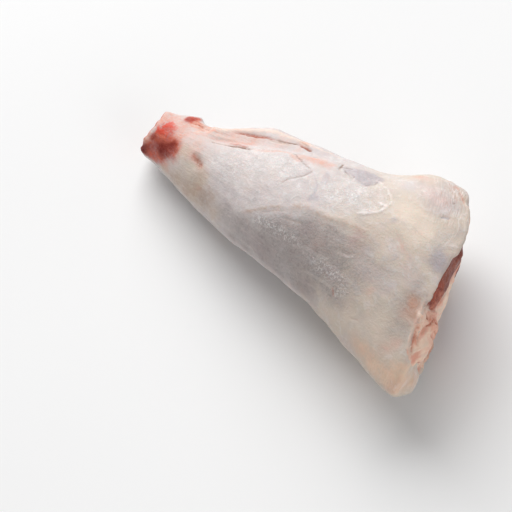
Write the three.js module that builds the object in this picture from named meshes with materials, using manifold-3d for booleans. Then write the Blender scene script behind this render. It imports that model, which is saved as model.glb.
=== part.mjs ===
// A raw lamb hind shank, sawn off at the hock and taken apart at the knee joint, with its bone in it.
// It lies on its inner side with the outer side up. +X runs from the hock to the knee, +Y is the back of the
// leg, and the origin is on the floor under the middle of the shank's box. Lengths are in millimetres.

import * as THREE from "three";
import { mergeVertices } from "three/addons/utils/BufferGeometryUtils.js";
import Module from "manifold-3d";

// Driving dimensions

// The leg at its landmarks, from the hock to the knee. shin and back are the front and back edges seen from
// above, as [along, across], and belly and crest the heights of the underside and the top. egg is how much
// fuller the back of the section is than the front. lean is how far the section's top is set towards the knee,
// for each unit of height, and twist is what its back half has more of that, at the top and at the foot. bow is
// how far its middle is ahead, and draw how far the skin over the joint has drawn back.
const LANDMARKS = [
  { place: "hock cut", shin: [-0.5, -19.5], back: [-2, 2], belly: 5.5, crest: 31.5, lean: 0.25 },
  { place: "heel", shin: [12.5, -23.5], back: [13.5, 6], belly: 4.5, crest: 35, lean: 0.12 },
  { place: "ankle", shin: [31.5, -30.5], back: [32.5, 7], belly: 2.5, crest: 40.5, egg: 0.05 },
  { place: "tendon", shin: [55, -38], back: [53, 18], belly: 1, crest: 47.5, egg: 0.1 },
  { place: "calf", shin: [77.5, -42.5], back: [74, 19.5], belly: -0.5, crest: 56, egg: 0.1 },
  { place: "thigh", shin: [100, -47], back: [97, 20.5], belly: -1, crest: 62, egg: 0.1 },
  { place: "hollow", shin: [121.5, -52], back: [118, 23], belly: -1.3, crest: 65.5, egg: 0.15, twist: 0.03 },
  {
    place: "knee", shin: [145, -61], back: [135, 33], belly: -1.3, crest: 69.5,
    egg: 0.2, lean: 0.01, twist: 0.06, bow: 2.7, draw: 1,
  },
  {
    place: "cut", shin: [177, -72.5], back: [149, 34], belly: -1.3, crest: 67.5,
    egg: 0.3, lean: 0.06, twist: 0.1, bow: 8, draw: 9,
  },
].map((mark) => ({ egg: 0, lean: 0, twist: 0, bow: 0, draw: 0, ...mark }));
const TWIST_EASE = 8; // eases the twist in the middle of a section
const DRAW = { right: -0.35, wide: 0.42 }; // where the skin has drawn back

// Places on a section are shares of its half width, towards the back, and of its half height, upwards.
const JOINT = { right: -0.42, up: -0.12 }; // where the bone comes out in the knee cut
const HOCK_BONE = { right: 0.0, up: 0.0 }; // and in the hock cut
const BONE_RADII = [8.5, 7.5, 7, 7, 7.5, 8.5, 10, 11.5, 12]; // at the landmarks
const BONE_SINK = 2.2; // from the rim of the knee cut down to the bone's joint face
const BONE_GAP = 0.3; // between the bone and what is around it
const CHANNEL_PAST = 10; // how far the bone's channel is cut past both its ends
// The crescent goes round the joint face from and to these turns, in degrees.
const MENISCUS = { radius: 9, halfWidth: 2.4, halfHeight: 1.5, from: -50, to: 200, steps: 24, around: 10 };

// Relief of the skin: cords stand out and furrows lie in. turn is in degrees from the back over the top.
const CORDS = [
  { name: "heel tendon", from: 0.1, to: 0.62, turn: [54, 28], halfWidth: 2.8, rise: 2.2 },
  { name: "furrow by the tendon", from: 0.2, to: 0.66, turn: [74, 47], halfWidth: 3.6, rise: -2.6 },
  { name: "upper edge of the shin muscle", from: 0.38, to: 0.84, turn: [144, 88], halfWidth: 9, rise: 1.1 },
];
const HEEL_KNOB = { share: 0.125, turn: 30, along: 6, around: 5.5, rise: 1.8 };

// Relief of the knee cut: muscles and the fat pad of the knee bulge out of it.
const CUT_BULGES = [
  { name: "fat pad", right: -0.78, up: -0.2, wide: 0.16, tall: 0.35, rise: 4.5 },
  { name: "fat over the joint", right: -0.42, up: 0.42, wide: 0.3, tall: 0.16, rise: 3.6 },
  { name: "outer band", right: 0.2, up: 0.62, wide: 0.55, tall: 0.16, rise: 2.5 },
  { name: "middle muscle", right: 0.12, up: 0.26, wide: 0.34, tall: 0.18, rise: 3 },
  { name: "inner muscle", right: 0.34, up: -0.18, wide: 0.36, tall: 0.2, rise: 3 },
  { name: "lower band", right: 0.48, up: -0.62, wide: 0.4, tall: 0.18, rise: 3 },
  { name: "small muscle by the joint", right: -0.14, up: -0.46, wide: 0.14, tall: 0.18, rise: 2.5 },
];
const CUT_DOME = 2; // how far the middle of the cut swells
const CUT_SINK = 2.5; // how far the meat has drawn back inside the rim
const CUT_SLOPE = [0.8, 0.97]; // where it draws back, as shares of the section
// The rim's rounding is a share of the section, larger towards the front and the back. depth is a share
// of the leg.
const RIM = { sharp: 0.025, round: 0.09, depth: 0.28, from: 0.3, steps: 3 };

const RINGS_A_STRETCH = 5; // rings of faces between two landmarks
const AROUND = 72; // faces round the leg
const AROUND_BONE = 20;
const CUT_RINGS = [0.88, 0.78, 0.66, 0.54, 0.42, 0.3, 0.18, 0.08, 0];
const HOCK_RINGS = [0, 0.5, 0.85];

// Curves through the landmarks

const STRETCHES = LANDMARKS.length - 1;
const railOf = (key) => new THREE.SplineCurve(LANDMARKS.map((mark) => new THREE.Vector2(...mark[key])));
const valuesOf = (values) => {
  const curve = new THREE.SplineCurve(values.map((value, i) => new THREE.Vector2(i, value)));
  return (share) => curve.getPoint(share).y;
};
const shinRail = railOf("shin");
const backRail = railOf("back");
const bellyAt = valuesOf(LANDMARKS.map((mark) => mark.belly));
const crestAt = valuesOf(LANDMARKS.map((mark) => mark.crest));
const eggAt = valuesOf(LANDMARKS.map((mark) => mark.egg));
const leanAt = valuesOf(LANDMARKS.map((mark) => mark.lean));
const twistAt = valuesOf(LANDMARKS.map((mark) => mark.twist));
const bowAt = valuesOf(LANDMARKS.map((mark) => mark.bow));
const drawAt = valuesOf(LANDMARKS.map((mark) => mark.draw));
const boneRadiusAt = valuesOf(BONE_RADII);

const bell = (distance, width) => Math.exp(-((distance / width) ** 2));
const between = THREE.MathUtils.smoothstep;
const mix = THREE.MathUtils.lerp;
const rad = THREE.MathUtils.degToRad;

// The plane across the leg at a share of the way from the hock to the knee.
function sectionAt(share) {
  const shin = shinRail.getPoint(share);
  const back = backRail.getPoint(share);
  const across = back.clone().sub(shin);
  const halfWidth = across.length() / 2;
  across.normalize();
  return {
    middle: shin.clone().add(back).multiplyScalar(0.5),
    across,
    out: new THREE.Vector2(across.y, -across.x),
    halfWidth,
    halfHeight: (crestAt(share) - bellyAt(share)) / 2,
    height: (crestAt(share) + bellyAt(share)) / 2,
    egg: eggAt(share),
    lean: leanAt(share),
    twist: twistAt(share),
    bow: bowAt(share),
    draw: drawAt(share),
  };
}

// How far a section's surface is ahead of its plane, at right and up in millimetres from its middle.
function aheadOf(section, right, up) {
  const side = right / section.halfWidth;
  const swing = side < 0 ? up : Math.hypot(up, TWIST_EASE) - TWIST_EASE;
  const top = Math.max(0, up / section.halfHeight);
  const drawn = section.draw * bell(side - DRAW.right, DRAW.wide) * top ** 2;
  return section.lean * up + section.twist * side * swing + section.bow * (1 - side ** 2) - drawn;
}

// A point near a section: right and up in millimetres from its middle, and out along the leg.
function nearSection(section, right, up, out) {
  const plan = section.middle
    .clone()
    .addScaledVector(section.across, right)
    .addScaledVector(section.out, out + aheadOf(section, right, up));
  return [plan.x, plan.y, section.height + up];
}

// A closed body: the rings of a lathe, moved to where place puts them. A ring of no radius is an end point.
function swept(rings, around, place) {
  const profile = rings.map((ring, i) => new THREE.Vector2(ring.radius === 0 ? 0 : 1, i));
  const geometry = new THREE.LatheGeometry(profile, around);
  const at = geometry.attributes.position;
  for (let i = 0; i < at.count; i++) {
    const ring = rings[Math.round(at.getY(i))];
    at.setXYZ(i, ...place(ring, Math.atan2(at.getX(i), at.getZ(i))));
  }
  geometry.deleteAttribute("normal");
  geometry.deleteAttribute("uv");
  return mergeVertices(geometry);
}

// Meat

function skinRelief(share, turn, girth) {
  let rise = 0;
  for (const cord of CORDS) {
    const along = (share - cord.from) / (cord.to - cord.from);
    const away = (turn - rad(mix(...cord.turn, along))) * girth;
    const fade = between(along, 0, 0.2) * (1 - between(along, 0.7, 1));
    rise += cord.rise * fade * bell(away, cord.halfWidth);
  }
  const along = (share - HEEL_KNOB.share) * LANDMARKS.at(-1).shin[0];
  const away = (turn - rad(HEEL_KNOB.turn)) * girth;
  return rise + HEEL_KNOB.rise * bell(along, HEEL_KNOB.along) * bell(away, HEEL_KNOB.around);
}

function cutRelief(right, up) {
  const radius = Math.hypot(right, up);
  let rise = CUT_DOME * (1 - radius ** 2) - CUT_SINK * (1 - between(radius, ...CUT_SLOPE));
  for (const bulge of CUT_BULGES)
    rise += bulge.rise * bell(right - bulge.right, bulge.wide) * bell(up - bulge.up, bulge.tall);
  return rise;
}

function meatRings() {
  const last = RINGS_A_STRETCH * STRETCHES;
  const rings = HOCK_RINGS.map((radius) => ({ share: 0, radius }));
  for (let i = 0; i < last - 1; i++) rings.push({ share: i / last, radius: 1 });
  for (let i = 0; i <= RIM.steps; i++) {
    rings.push({ share: 1, radius: 1, corner: (Math.PI / 2) * (i / RIM.steps) });
  }
  for (const radius of CUT_RINGS) rings.push({ share: 1, radius, corner: Math.PI / 2 });
  return rings;
}

function meatPoint(ring, turn) {
  const corner = ring.corner ?? Math.PI / 2;
  const towardsEdge = between(Math.abs(Math.cos(turn)), RIM.from, 1);
  const round = ring.share < 1 ? 0 : mix(RIM.sharp, RIM.round, towardsEdge);
  const share = ring.share - round * RIM.depth * (1 - Math.sin(corner));
  const radius = ring.radius * (1 - round * (1 - Math.cos(corner)));
  const section = sectionAt(share);
  const right = radius * Math.cos(turn);
  const up = radius * Math.sin(turn) * (1 + section.egg * right);
  const girth = Math.hypot(right * section.halfWidth, up * section.halfHeight);
  const swell = ring.radius < 1 ? 1 : 1 + skinRelief(share, turn, girth) / girth;
  const out = ring.radius < 1 && ring.share === 1 ? cutRelief(right, up) : 0;
  const wide = section.halfWidth * swell;
  const tall = section.halfHeight * swell;
  const [x, y, z] = nearSection(section, right * wide, up * tall, out);
  return [x, y, Math.max(0, z)];
}

// Bone

// The bone runs from the hock cut to just inside the knee cut. past lengthens both its ends.
function boneRings(past) {
  const last = RINGS_A_STRETCH * STRETCHES;
  const rings = [];
  for (let i = 0; i < last; i += 2) rings.push({ share: i / last, radius: 1, out: 0 });
  rings.push({ share: 1, radius: 1, out: -BONE_SINK });
  if (past > 0) rings.unshift({ share: 0, radius: 1, out: -past });
  if (past > 0) rings.push({ share: 1, radius: 1, out: past });
  return [{ ...rings[0], radius: 0 }, ...rings, { ...rings.at(-1), radius: 0 }];
}

function bonePoint(ring, turn, grown) {
  const section = sectionAt(ring.share);
  const radius = (boneRadiusAt(ring.share) + grown) * ring.radius;
  const right = mix(HOCK_BONE.right, JOINT.right, ring.share) * section.halfWidth + radius * Math.cos(turn);
  const up = mix(HOCK_BONE.up, JOINT.up, ring.share) * section.halfHeight + radius * Math.sin(turn);
  return nearSection(section, right, up, ring.out);
}

// Meniscus

// The crescent of cartilage that lies on the bone's joint face is thick in its middle and thin at both horns.
function meniscusRings() {
  const rings = [];
  for (let i = 0; i <= MENISCUS.steps; i++) {
    const share = i / MENISCUS.steps;
    rings.push({ share, radius: i % MENISCUS.steps ? Math.sqrt(Math.sin(Math.PI * share)) : 0 });
  }
  return rings;
}

function meniscusPoint(ring, turn) {
  const section = sectionAt(1);
  const round = rad(mix(MENISCUS.to, MENISCUS.from, ring.share));
  const away = MENISCUS.radius + MENISCUS.halfWidth * ring.radius * Math.cos(turn);
  const right = JOINT.right * section.halfWidth + away * Math.cos(round);
  const up = JOINT.up * section.halfHeight + away * Math.sin(round);
  const lift = MENISCUS.halfHeight * (1 + ring.radius * Math.sin(turn));
  return nearSection(section, right, up, lift + BONE_GAP - BONE_SINK);
}

// Solids

const wasm = await Module();
wasm.setup();

const solidOf = (geometry) =>
  new wasm.Manifold(
    new wasm.Mesh({
      numProp: 3,
      vertProperties: geometry.attributes.position.array,
      triVerts: new Uint32Array(geometry.index.array),
    }),
  );

const boneSolid = (past, grown) =>
  solidOf(swept(boneRings(past), AROUND_BONE, (ring, turn) => bonePoint(ring, turn, grown)));

const shank = new THREE.Group();

function addPiece(name, solid, color, roughness) {
  const mesh = solid.getMesh();
  const geometry = new THREE.BufferGeometry();
  geometry.setAttribute("position", new THREE.BufferAttribute(mesh.vertProperties, 3));
  geometry.setIndex(new THREE.BufferAttribute(mesh.triVerts, 1));
  geometry.computeVertexNormals();
  const piece = new THREE.Mesh(geometry, new THREE.MeshStandardMaterial({ color, roughness, metalness: 0 }));
  piece.name = name;
  shank.add(piece);
}

const channel = boneSolid(CHANNEL_PAST, BONE_GAP);
addPiece("meat", solidOf(swept(meatRings(), AROUND, meatPoint)).subtract(channel), 0xc9bdb7, 0.42);
addPiece("bone", boneSolid(0, 0), 0xc79b8c, 0.5);
addPiece("meniscus", solidOf(swept(meniscusRings(), MENISCUS.around, meniscusPoint)), 0xd8d2cc, 0.35);

const box = new THREE.Box3().setFromObject(shank);
const middle = box.getCenter(new THREE.Vector3());
for (const piece of shank.children) piece.position.set(-middle.x, -middle.y, -box.min.z);

export default shank;
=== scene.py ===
"""A raw lamb hind shank that lies on its inner side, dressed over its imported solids."""

import math

import bpy
import numpy as np
from mathutils import Matrix, Vector, noise
from mathutils.bvhtree import BVHTree


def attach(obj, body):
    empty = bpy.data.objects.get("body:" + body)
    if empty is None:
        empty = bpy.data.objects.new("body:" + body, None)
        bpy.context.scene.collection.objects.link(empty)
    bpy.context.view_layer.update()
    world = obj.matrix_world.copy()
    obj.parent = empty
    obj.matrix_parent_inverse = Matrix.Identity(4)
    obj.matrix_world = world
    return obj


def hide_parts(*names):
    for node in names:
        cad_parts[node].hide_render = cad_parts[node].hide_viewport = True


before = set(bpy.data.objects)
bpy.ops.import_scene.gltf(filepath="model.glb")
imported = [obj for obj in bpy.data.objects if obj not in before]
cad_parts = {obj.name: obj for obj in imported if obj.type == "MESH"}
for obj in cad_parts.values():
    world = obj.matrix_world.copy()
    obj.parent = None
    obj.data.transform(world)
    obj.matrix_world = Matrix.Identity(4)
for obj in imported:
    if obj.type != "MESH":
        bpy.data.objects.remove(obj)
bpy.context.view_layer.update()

# Camera
# The picture is square and looks down on the shank over its shin, from the knee's side. A pixel of that
# picture also finds the point of the meat that shows there, so that each mark of the skin lies where the
# real one does.
PICTURE = 512
VIEW_TURN = math.radians(33.5)
VIEW_RISE = math.radians(61)
VIEW_REACH = 0.9
PIXEL = 0.000477  # metres at the shank's middle
SHANK_MIDDLE = Vector((0, 0, 0.0315))
SHANK_PIXEL = (293, 219.5)

flat_reach = math.cos(VIEW_RISE)
to_right = Vector((math.cos(VIEW_TURN), math.sin(VIEW_TURN), 0))
to_eye = Vector((math.sin(VIEW_TURN) * flat_reach, -math.cos(VIEW_TURN) * flat_reach, math.sin(VIEW_RISE)))
to_top = to_eye.cross(to_right)
aside = to_right * (PICTURE / 2 - SHANK_PIXEL[0]) - to_top * (PICTURE / 2 - SHANK_PIXEL[1])
eye = SHANK_MIDDLE + aside * PIXEL + to_eye * VIEW_REACH

bpy.ops.object.camera_add()
camera = bpy.context.object
turned = Matrix((to_right, to_top, to_eye)).transposed()
camera.matrix_world = Matrix.Translation(eye) @ turned.to_4x4()
camera.data.lens = camera.data.sensor_width * VIEW_REACH / (PIXEL * PICTURE)
bpy.context.scene.camera = camera


# Meat
# The muscles of the shin and the calf in their skin of fat and silvery membrane, in one piece with the
# tendon of the heel. It was sawn through at the hock and cut open at the knee, where the muscles and the
# fat pad show.
VOXEL = 0.00083
MERGE_REACH = 0.00001
MILLIMETRE = 0.001

# The leg's middle line, from the hock to the knee, and the half width and half height at both ends.
LEG_START = np.array((-0.088, 0.0095, 0.018))
LEG_END = np.array((0.0755, -0.0007, 0.0331))
LEG_HALVES = ((0.0115, 0.013), (0.053, 0.0344))

# The knee cut, seen from above, from the tip of the shin to the back of the leg, and how it is bent.
KNEE_TIP = np.array((0.0895, -0.0540))
KNEE_BACK = np.array((0.0615, 0.0525))
KNEE_LOW = -0.0013
KNEE_HIGH = 0.0675
KNEE_EGG = 0.3
KNEE_LEAN = 0.06
KNEE_TWIST = 0.1
KNEE_EASE = 0.008
KNEE_BOW = 0.008
KNEE_DRAW = 0.009
DRAW_AT = -0.35
DRAW_WIDE = 0.42
KNEE_HALF = np.linalg.norm(KNEE_BACK - KNEE_TIP) / 2
KNEE_TALL = (KNEE_HIGH - KNEE_LOW) / 2


def start_piece(name, node):
    """A new piece from a merged copy of a solid's mesh, selected alone."""
    bpy.ops.object.select_all(action="DESELECT")
    piece = bpy.data.objects.new(name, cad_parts[node].data.copy())
    bpy.context.scene.collection.objects.link(piece)
    piece.select_set(True)
    bpy.context.view_layer.objects.active = piece
    piece.data.materials.clear()
    bpy.ops.object.mode_set(mode="EDIT")
    bpy.ops.mesh.select_all(action="SELECT")
    bpy.ops.mesh.remove_doubles(threshold=MERGE_REACH)
    bpy.ops.object.mode_set(mode="OBJECT")
    return piece


def shape(piece, kind, **settings):
    """Adds a modifier to the active piece and applies it."""
    bpy.ops.object.modifier_add(type=kind)
    modifier = piece.modifiers[-1]
    for name, value in settings.items():
        setattr(modifier, name, value)
    bpy.ops.object.modifier_apply(modifier=modifier.name)


def ease(piece, weights, turns):
    """Smooths a piece, each vertex as much as its weight says."""
    group = piece.vertex_groups.new(name="easing")
    for index in np.nonzero(weights > 0.02)[0]:
        group.add([int(index)], float(weights[index]), "REPLACE")
    shape(piece, "SMOOTH", factor=0.5, iterations=turns, vertex_group="easing")
    piece.vertex_groups.clear()


def read(piece, what):
    """The places or the normals of a piece's vertices, as rows of three."""
    source = piece.data.vertices if what == "co" else piece.data.vertex_normals
    rows = np.empty(len(piece.data.vertices) * 3)
    source.foreach_get(what, rows)
    return rows.reshape(-1, 3)


def write(piece, places):
    piece.data.vertices.foreach_set("co", places.ravel())
    piece.data.update()


def keep_mask(piece, name, values):
    """Stores a number from 0 to 1 on each vertex, for the material."""
    mask = piece.data.attributes.new(name, "FLOAT", "POINT")
    mask.data.foreach_set("value", np.clip(values, 0, 1).astype(np.float32))


def ramp(values, start, end):
    """Goes smoothly from 0 at start to 1 at end."""
    share = np.clip((values - start) / (end - start), 0, 1)
    return share * share * (3 - 2 * share)


def bell(distance, width):
    return np.exp(-((distance / width) ** 2))


# The marks drift by noise from a set seed, so that they fall in the same places each time.
DRIFT_SEED = 1
SEED_STEP = np.array((1, 1.7, 0.6))
LUMP_GAIN = 1.6
WANDER_GAIN = 1.4
noise.seed_set(DRIFT_SEED)


def noise_points(places, size, seed):
    """Places as points of a noise with lumps of that size, in a part of it that the seed picks."""
    shift = Vector(SEED_STEP * seed)
    return [Vector(place) / size + shift for place in places]


def lumps(places, size, seed):
    """Soft noise between about -1 and 1, with lumps of that size."""
    return np.array([noise.noise(point) for point in noise_points(places, size, seed)]) * LUMP_GAIN


def wander(places, length, size, seed):
    """A soft shift of each place in all directions, about that many millimetres long."""
    shifts = [noise.noise_vector(point) for point in noise_points(places, size, seed)]
    return np.array(shifts) * WANDER_GAIN * length * MILLIMETRE


def off_point(places, point):
    return np.linalg.norm(places - point, axis=1)


FAR_OFF = 1.0
LINE_REACH = 0.03


def off_line(places, line):
    """How far each place is from a line of points, and the share of its way at the nearest one."""
    away = np.full(len(places), FAR_OFF)
    along = np.zeros(len(places))
    from_middle = np.abs(places - np.mean(line, axis=0))
    near = np.nonzero((from_middle < np.ptp(line, axis=0) / 2 + LINE_REACH).all(axis=1))[0]
    close = places[near]
    for index, (start, end) in enumerate(zip(line[:-1], line[1:])):
        step = end - start
        share = np.clip((close - start) @ step / max(step @ step, 1e-12), 0, 1)
        here = off_point(close, start + share[:, None] * step)
        nearer = here < away[near]
        away[near[nearer]] = here[nearer]
        along[near[nearer]] = (index + share[nearer]) / (len(line) - 1)
    return away, along


def at_cut(places):
    """Where places are on the knee cut: shares across and up it, and how far out of it they are."""
    across = (KNEE_BACK - KNEE_TIP) / (2 * KNEE_HALF)
    outward = np.array((across[1], -across[0]))
    plan = places[:, :2] - (KNEE_TIP + KNEE_BACK) / 2
    right = plan @ across / KNEE_HALF
    height = places[:, 2] - (KNEE_HIGH + KNEE_LOW) / 2
    swing = np.where(right < 0, height, np.hypot(height, KNEE_EASE) - KNEE_EASE)
    drawn = KNEE_DRAW * bell(right - DRAW_AT, DRAW_WIDE) * np.maximum(height / KNEE_TALL, 0) ** 2
    ahead = KNEE_LEAN * height + KNEE_TWIST * right * swing + KNEE_BOW * (1 - right**2) - drawn
    return right, height / KNEE_TALL / (1 + KNEE_EGG * right), plan @ outward - ahead


def cut_plane(right, up):
    """Points of the knee cut in metres, from their shares across and up it."""
    return np.stack([right * KNEE_HALF, up * (1 + KNEE_EGG * right) * KNEE_TALL], -1)


def on_cut(back, high):
    """A point of the knee cut, from its shares from the tip to the back and from the foot to the top."""
    right = 2 * back - 1
    return cut_plane(right, (2 * high - 1) * math.sqrt(1 - right**2))


RIM_AT = 0.96
RIM_WIDE = 0.07
RIM_DEPTH = (-0.008, -0.004)
RIM_KEPT = 0.85
MEAT_TURNS = 22

meat = start_piece("shank_meat", "meat")
shape(meat, "REMESH", mode="VOXEL", voxel_size=VOXEL, adaptivity=0, use_smooth_shade=True)
right, up, out = at_cut(read(meat, "co"))
by_rim = bell(np.hypot(right, up) - RIM_AT, RIM_WIDE) * ramp(out, *RIM_DEPTH)
ease(meat, 1 - RIM_KEPT * by_rim, MEAT_TURNS)


def skin_of(piece):
    """A piece's faces, ready for rays."""
    faces = [list(face.vertices) for face in piece.data.polygons]
    return BVHTree.FromPolygons(read(piece, "co").tolist(), faces)


STEP_INWARD = 0.004


def seen(x, y):
    """The point of the skin at a pixel, or at the first one that shows on the way to the shank's middle."""
    pixel = np.array((x, y), dtype=float)
    hit = None
    while hit is None:
        across, below = (pixel - PICTURE / 2) * PIXEL
        ray = to_right * across - to_top * below - to_eye * VIEW_REACH
        hit = skin_tree.ray_cast(eye, ray.normalized())[0]
        pixel += STEP_INWARD * (SHANK_PIXEL - pixel)
    return np.array(hit)


def trail(pixels, steps=4):
    """A smooth line on the skin through pixels of the picture."""
    knots = np.array([pixels[0], *pixels, pixels[-1]], dtype=float)
    line = []
    for before, start, end, after in zip(knots, knots[1:], knots[2:], knots[3:]):
        for share in np.arange(steps) / steps:
            bend = (2 * before - 5 * start + 4 * end - after) * share * share
            bend = bend + (3 * start - before - 3 * end + after) * share**3
            line.append(seen(*(start + ((end - before) * share + bend) / 2)))
    return [*line, seen(*pixels[-1])]


# Pulls that give the soft outline its corners: a pixel, how far it goes right and down, and the reach,
# all in pixels.
PULLS = [
    # the hock's corners and the heel
    (164, 116, 1.4, -2.2, 7), (171, 115, 0, -2.6, 10), (184, 117, 0, -1.4, 9), (150, 133, -1.8, -0.8, 7),
    (146, 141, -3.2, -1.6, 7), (143, 148, -4.2, 0.0, 7), (143, 155, -0.6, 0.6, 6), (192, 119, 0, -1.6, 7),
    (200, 121, 1.8, -3.2, 5), (207, 127, -0.5, 4.0, 6),
    # the tendon and the calf's upper edge
    (273, 131, 0, -1.6, 14), (285, 134, 0, 1.4, 9), (302, 140, 0, 2.6, 13), (353, 162, 0.3, -0.2, 12),
    # the knee's corner and the skin's edge over the cut
    (469, 201, -5.2, 0.6, 9), (461, 255, 2.6, 0.4, 7), (459, 261, 3.0, 0.4, 8), (458, 239, 4.2, 0.4, 9),
    (463, 228, 2.2, 0.4, 8), (454, 253, 3.4, 0.8, 8), (444, 267, 3.0, 0.8, 7), (437, 276, 3.2, 1.0, 7),
    (430, 286, 5.2, 1.2, 8), (426, 298, 4.0, 0.8, 7), (447, 296, 1.6, 0.2, 8),
    # the edge of the fat pad and the tip
    (427, 358, 2.6, 0.8, 7), (408, 390, 4.0, 3.5, 8), (417, 378, 2.4, 1.2, 8), (421, 370, 2.4, 1.0, 7),
    (431, 346, 4.0, 0.8, 9),
    # the shin's lower edge
    (333, 328, -1.4, 1.4, 14), (318, 313, -1.0, 1.0, 12), (348, 347, -1.7, 1.7, 16),
    (367, 369, -1.6, 1.6, 16), (382, 386, -1.0, 1.0, 10),
]

# The meat closes round the bone. What lies right on the bone is held by it, and isn't pulled. The ankle is
# smoothed again after the pulls. Each vertex keeps the place on the knee cut that it had before them.
HELD_GAP = (0.0006, 0.003)
SNUG_GAP = (0.0008, 0.002)
SNUG_FACING = (-0.2, 0.4)
SNUG_SHARE = 0.7
ANKLE_PIXEL = (168, 150)
ANKLE_REACH = 13
ANKLE_TURNS = 50

skin_tree = skin_of(meat)
places = read(meat, "co")
right, up, out = at_cut(places)
bone_tree = skin_of(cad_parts["bone"])
nearest = [bone_tree.find_nearest(place) for place in places]
gap = np.array([hit[3] for hit in nearest])[:, None]
free = ramp(gap, *HELD_GAP)
to_bone = np.array([hit[0] for hit in nearest]) - places
facing = np.sum(to_bone * read(meat, "vector"), axis=1, keepdims=True) / np.maximum(gap, 1e-6)
moved = places + SNUG_SHARE * (1 - ramp(gap, *SNUG_GAP)) * ramp(facing, *SNUG_FACING) * to_bone
for x, y, rightward, downward, reach in PULLS:
    pull = np.array(to_right * rightward - to_top * downward) * PIXEL
    moved += free * bell(off_point(places, seen(x, y)), reach * PIXEL)[:, None] * pull
write(meat, moved)
ankle = bell(off_point(moved, seen(*ANKLE_PIXEL)), ANKLE_REACH * PIXEL)
ease(meat, free[:, 0] * ankle, ANKLE_TURNS)
places = read(meat, "co")
normals = read(meat, "vector")
skin_tree = skin_of(meat)

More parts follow.
